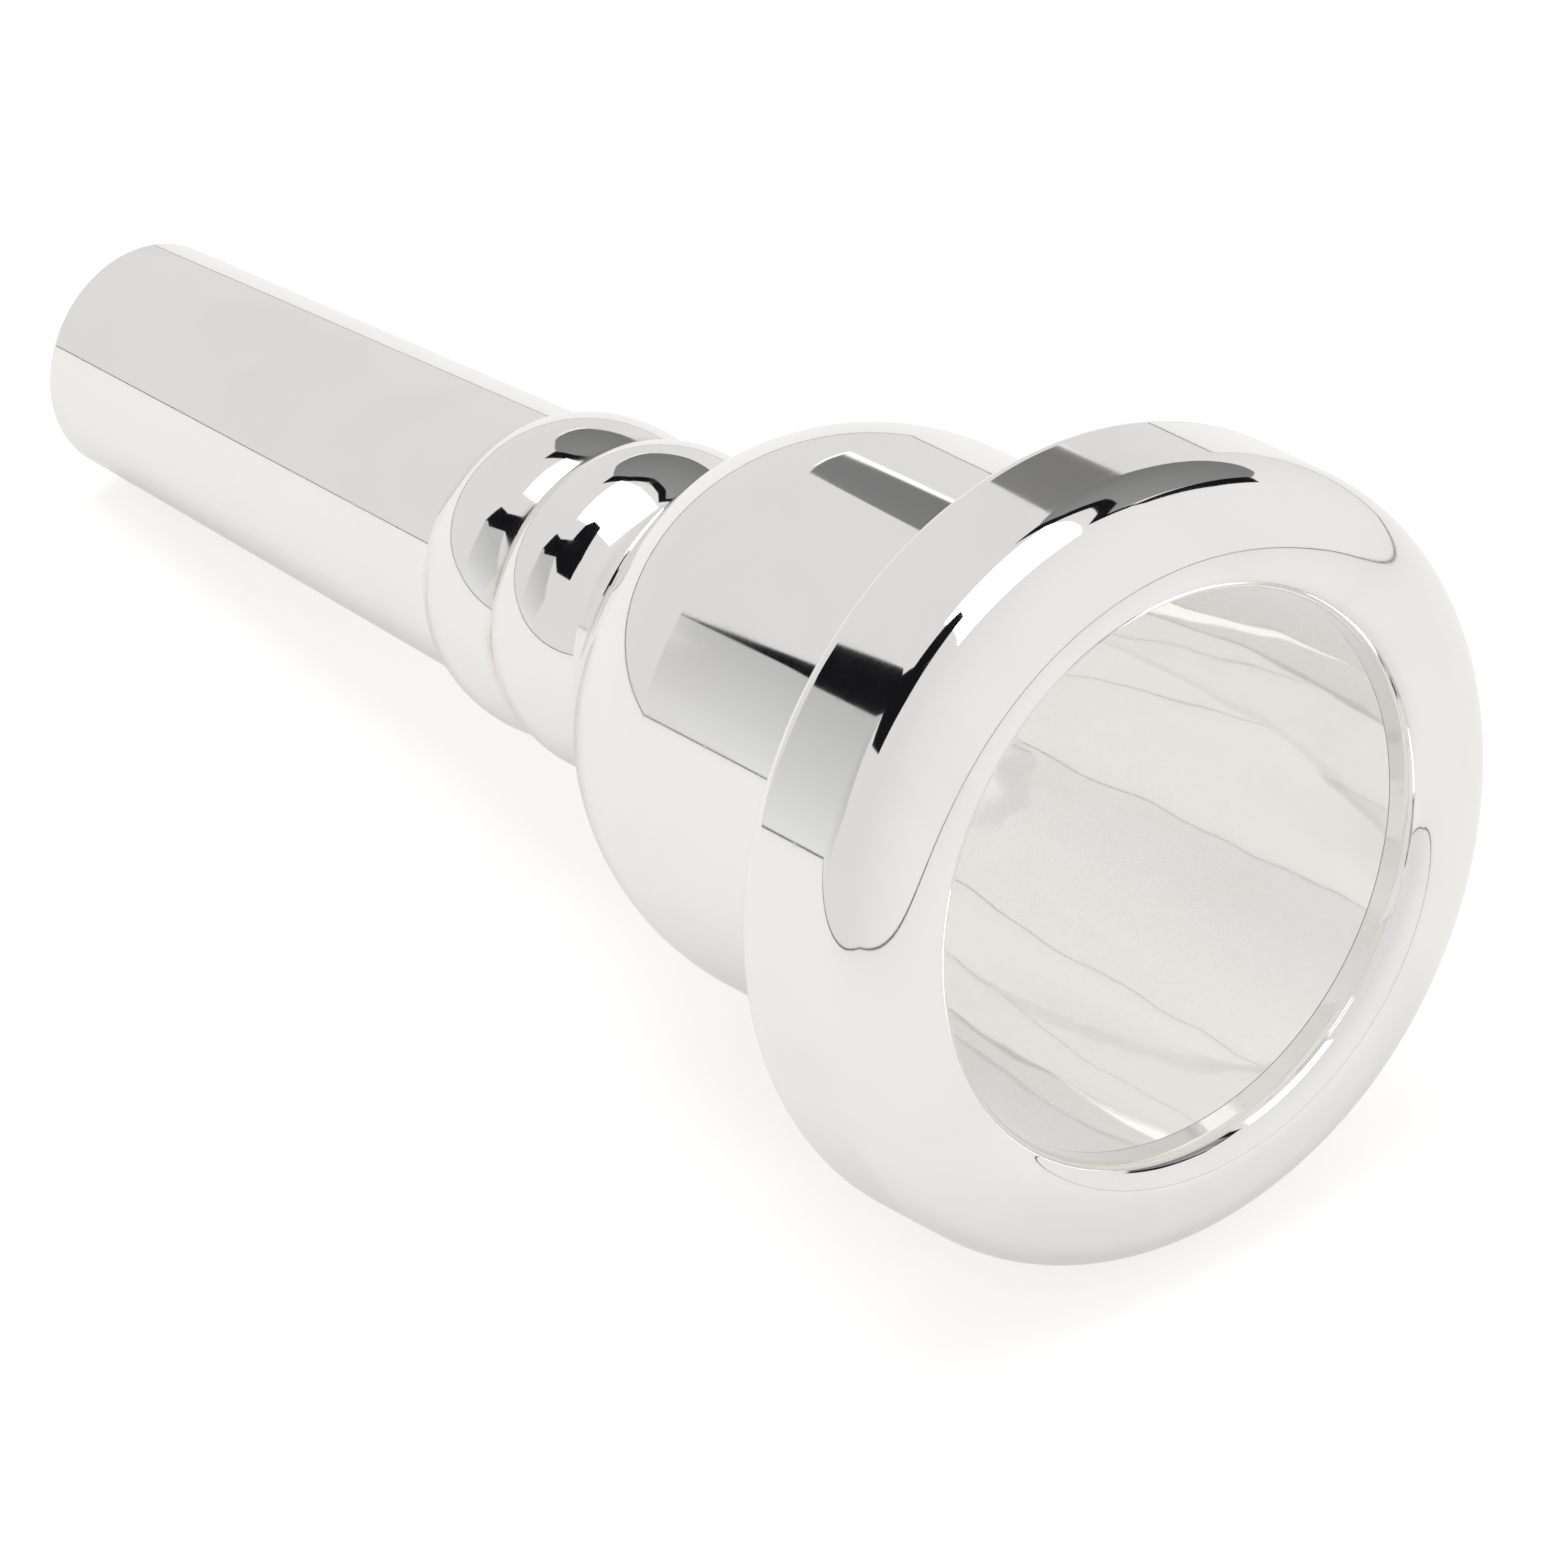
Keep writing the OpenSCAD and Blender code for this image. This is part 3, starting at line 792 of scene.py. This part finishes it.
# %% Mould the rings
def ring(name, node, floor_r, middle_z, thickness):
    """A rubber ring of round section that clears the floor of its groove by the play."""
    half = thickness / 2
    section = ["rubber", (floor_r + PLAY + half, middle_z, half, -180, 180)]
    make_piece(name, node, [turned(section)])


ring("rim_seal_rubber", "rim_seal", groove_r, ring_z, RIM_RING)
ring("shank_seal_rubber", "shank_seal", ring_floor, seal_z, SHANK_RING)

# %% [markdown]
# ## Making the stage
# The floor and the cards are flat meshes. Some only glow, with no shading at all, since they are there to be
# mirrored and their tone has to stay as it is set. A dull white card lit by lamps would mirror in much the
# same way, but its tone would then change with every lamp that is moved.

# %% Helpers for the stage
def glowing(name, colour, strength):
    """A material that only glows, for the things that the silver mirrors."""
    material = bpy.data.materials.new(name)
    material.use_nodes = True
    tree = material.node_tree
    tree.nodes.clear()
    glow = add_node(tree, "ShaderNodeEmission")
    glow.inputs["Color"].default_value = (*colour, 1)
    glow.inputs["Strength"].default_value = strength
    end = add_node(tree, "ShaderNodeOutputMaterial")
    tree.links.new(glow.outputs[0], end.inputs["Surface"])
    return material


def add_mesh(name, points, faces, material):
    """A piece of the stage. Its points are in metres."""
    mesh = bpy.data.meshes.new(name)
    mesh.from_pydata([tuple(p) for p in points], [], faces)
    mesh.materials.append(material)
    thing = bpy.data.objects.new(name, mesh)
    bpy.context.scene.collection.objects.link(thing)
    return thing


def square(half, height):
    """The four corners of a level square round the origin, in metres."""
    return [(x * half, y * half, height) for x, y in ((-1, -1), (1, -1), (1, 1), (-1, 1))]


dark_edge = glowing("dark_edge", (0.03, 0.03, 0.035), 1.0)
print("stage materials so far:", dark_edge.name)

# %% [markdown]
# ## The floor
# The floor is plain white card. It is small enough that the silver also mirrors the room above its edge,
# where a thin dark upstand draws the line between the two. A far floor carries the card on for views from
# the side, and the silver doesn't mirror it. The camera sees the card a little brighter than
# the silver does, as an overexposed background would be. Light Path makes that difference.
# A stronger lamp would whiten the background too, but it would bleach the silver with it.

# %% Lay the floor
PAPER, PAPER_GLOW = (0.46, 0.455, 0.445, 1), (1.0, 0.99, 0.975, 1)
GLOW, GLOW_FOR_CAMERA = 0.40, 0.25
FLOOR_HALF, UPSTAND, FAR_HALF, STEP_DOWN = 0.30, 0.0025, 4.0, 0.0005
white_card = bpy.data.materials.new("white_card")
white_card.use_nodes = True
card_tree = white_card.node_tree
paper = card_tree.nodes["Principled BSDF"]
paper.inputs["Base Color"].default_value = PAPER
paper.inputs["Roughness"].default_value = 1.0
paper.inputs["Specular IOR Level"].default_value = 0.0
lift = add_node(card_tree, "ShaderNodeEmission")
lift.inputs["Color"].default_value = PAPER_GLOW
seen = add_node(card_tree, "ShaderNodeLightPath").outputs["Is Camera Ray"]
card_tree.links.new(maths(card_tree, "MULTIPLY_ADD", seen, GLOW_FOR_CAMERA, GLOW), lift.inputs["Strength"])
both = add_node(card_tree, "ShaderNodeAddShader")
card_tree.links.new(paper.outputs[0], both.inputs[0])
card_tree.links.new(lift.outputs[0], both.inputs[1])
card_tree.links.new(both.outputs[0], card_tree.nodes["Material Output"].inputs["Surface"])

level = cad_low.z
add_mesh("floor", square(FLOOR_HALF, level), [(0, 1, 2, 3)], white_card)
wall_points = square(FLOOR_HALF, level) + square(FLOOR_HALF, level + UPSTAND)
wall_faces = [(i, (i + 1) % 4, 4 + (i + 1) % 4, 4 + i) for i in range(4)]
upstand = add_mesh("upstand", wall_points, wall_faces, dark_edge)
upstand.visible_camera = False
far_floor = add_mesh("far_floor", square(FAR_HALF, level - STEP_DOWN), [(0, 1, 2, 3)], white_card)
far_floor.visible_glossy = False
print("floor level in mm:", in_mm([level], 3))

# %% [markdown]
# ## The room
# The room is pale grey and a little brighter on the right, and it fills every shadow. Polished metal shows
# the whole room, so even a plain one needs that slow change, or the silver looks flat.
# A picture of a real studio could light it too, but that would be an image file.

# %% Paint the room
TOWARD_BRIGHT, DIM_AT, BRIGHT_AT = (0.80, 0.60, 0.0), -0.3, 0.9
DIM_SIDE, BRIGHT_SIDE = (0.795, 0.79, 0.785, 1), (0.915, 0.905, 0.895, 1)
scene = bpy.context.scene
scene.view_settings.view_transform = "Standard"
scene.world = scene.world or bpy.data.worlds.new("room")
scene.world.use_nodes = True
room_tree = scene.world.node_tree
facing = add_node(room_tree, "ShaderNodeVectorMath", operation="DOT_PRODUCT")
facing.inputs[1].default_value = TOWARD_BRIGHT
room_tree.links.new(add_node(room_tree, "ShaderNodeTexCoord").outputs["Generated"], facing.inputs[0])
shades = add_node(room_tree, "ShaderNodeMix", data_type="RGBA")
shades.inputs["A"].default_value = DIM_SIDE
shades.inputs["B"].default_value = BRIGHT_SIDE
brightness = smooth_step(room_tree, facing.outputs["Value"], DIM_AT, BRIGHT_AT)
room_tree.links.new(brightness, shades.inputs["Factor"])
room_tree.links.new(shades.outputs["Result"], room_tree.nodes["Background"].inputs["Color"])
print("the room's red runs from", DIM_SIDE[0], "to", BRIGHT_SIDE[0])

# %% [markdown]
# ## The softbox
# One large softbox hangs above. It gives the white tops and the faint shadow on the floor. A small lamp
# would give a hard shadow and pinpoint highlights. The power of an area light is shared over its area, so it
# is worked out from the glow that the silver should mirror.

# %% Hang the softbox
BOX_LONG, BOX_WIDE, BOX_HEIGHT, BOX_GLOW, BOX_LEFT = 0.60, 0.42, 0.62, 1.8, 0.15
softbox_data = bpy.data.lights.new("softbox", "AREA")
softbox_data.shape = "RECTANGLE"
softbox_data.size = BOX_LONG
softbox_data.size_y = BOX_WIDE
softbox_data.energy = 4 * BOX_LONG * BOX_WIDE * BOX_GLOW
softbox = bpy.data.objects.new("softbox", softbox_data)
softbox.location = (camera_target.x - BOX_LEFT, 0, level + BOX_HEIGHT)
softbox.visible_camera = False
scene.collection.objects.link(softbox)
print("softbox power:", round(softbox_data.energy, 2))

# %% [markdown]
# ## Standing a card
# Polished silver looks only as good as what it mirrors, so dark cards are stood round tableware when it is
# shown. A card is placed by the direction in which it stands from the mouthpiece, by its distance and by
# its outline, all in mm. The cards are seen only in reflections, so they cast no shadow and block no view.
# Darkening the silver itself would be quicker, but a real reflection bends with every curve.

# %% Helpers for cards
MIDDLE = Vector((20, 0, 20)) * MM


def card(name, azimuth, elevation, distance, outline, material):
    """A flat card that faces the mouthpiece. The two angles are in degrees, and the rest in mm."""
    a, e = math.radians(azimuth), math.radians(elevation)
    out = Vector((math.cos(e) * math.cos(a), math.cos(e) * math.sin(a), math.sin(e)))
    across = Vector((0, 0, 1)).cross(out).normalized()
    up = out.cross(across)
    points = [MIDDLE + MM * (distance * out + u * across + v * up) for u, v in outline]
    thing = add_mesh(name, points, [tuple(range(len(points)))], material)
    for ray in ("camera", "diffuse", "transmission", "volume_scatter", "shadow"):
        setattr(thing, "visible_" + ray, False)
    print(f"{name}: {len(points)} corners, {distance} mm away")


def graded(name, low, high, low_glow, high_glow):
    """A glowing material whose strength runs from one height in metres to another."""
    material = glowing(name, (1.0, 1.0, 1.0), low_glow)
    tree = material.node_tree
    parts = add_node(tree, "ShaderNodeSeparateXYZ")
    tree.links.new(add_node(tree, "ShaderNodeNewGeometry").outputs["Position"], parts.inputs[0])
    shade = add_node(tree, "ShaderNodeMapRange")
    tree.links.new(parts.outputs["Z"], shade.inputs["Value"])
    for label, value in (("From Min", low), ("From Max", high), ("To Min", low_glow), ("To Max", high_glow)):
        shade.inputs[label].default_value = value
    tree.links.new(shade.outputs["Result"], tree.nodes["Emission"].inputs["Strength"])
    return material


print("the cards stand round", in_mm(MIDDLE, 0), "mm")

# %% [markdown]
# ## The cards on the left
# A black flag stands close by on the left, and just behind it a pale panel that is darker towards its top.
# The flag has a notch, through which the room shows as a light patch. One soft gradient could replace
# both, but the crisp edges of real cards are what make silver look polished.

# %% Stand the cards on the left
LEFT = (-130, 36)
black = glowing("black_card", (0.008, 0.008, 0.010), 1.0)
flag = [(-68, -2), (-65, -46), (-59, -39), (-44, -39), (0, -4), (43, -8), (110, 28), (79, 79), (8, 150)]
notch = [(-30, 118), (-30, 87), (-8, 47), (-39, 12)]
card("black_flag", *LEFT, 215, flag + notch, black)
panel = [(-65, -46), (-52, -66), (-47, -78), (-25, -146), (-16, -166), (70, -168), (70, -70), (0, -6)]
panel_top = [(-44, -37), (-59, -37)]
card("lit_panel", *LEFT, 217, panel + panel_top, graded("panel_card", 0.01, 0.115, 0.84, 0.55))

# %% [markdown]
# ## The cards on the right
# A large grey card with a black top stands far off to the right, with a black side card and a thin white
# foot. Each stands a little nearer than the grey card, so that it is mirrored in front of it. One card
# with a painted picture would do as well, but separate ones can be moved on their own.

# %% Stand the cards on the right
RIGHT = (125, 35)
low_edge = [(-460, -40), (-345, -105), (-180, -160), (0, -205), (215, -222), (250, -208), (292, -168)]
top_edge = [(325, -118), (345, -66), (344, 60), (335, 130), (205, 220), (0, 255), (-190, 385), (-295, 525)]
left_edge = [(-385, 385), (-450, 180)]
grey = graded("grey_card", 0.15, 0.85, 0.18, 0.33)
card("grey_card", *RIGHT, 700, low_edge + top_edge + left_edge, grey)
top_low = [(-400, 400), (-295, 490), (-190, 360), (0, 230), (205, 195), (340, 120)]
top_high = [(420, 190), (205, 265), (10, 300), (-160, 440), (-280, 590), (-420, 460)]
card("grey_card_top", *RIGHT, 698, top_low + top_high, black)
white = glowing("white_edge", (1.0, 1.0, 1.0), 1.2)
foot_high = [(212, -224), (250, -210), (292, -170), (325, -120)]
foot_low = [(332, -128), (298, -184), (254, -228), (212, -240)]
card("grey_card_foot", *RIGHT, 697, foot_high + foot_low, white)
side_card = [(-455, -30), (-560, -30), (-565, 150), (-500, 420), (-415, 450), (-450, 180)]
card("grey_card_side", *RIGHT, 699, side_card, black)
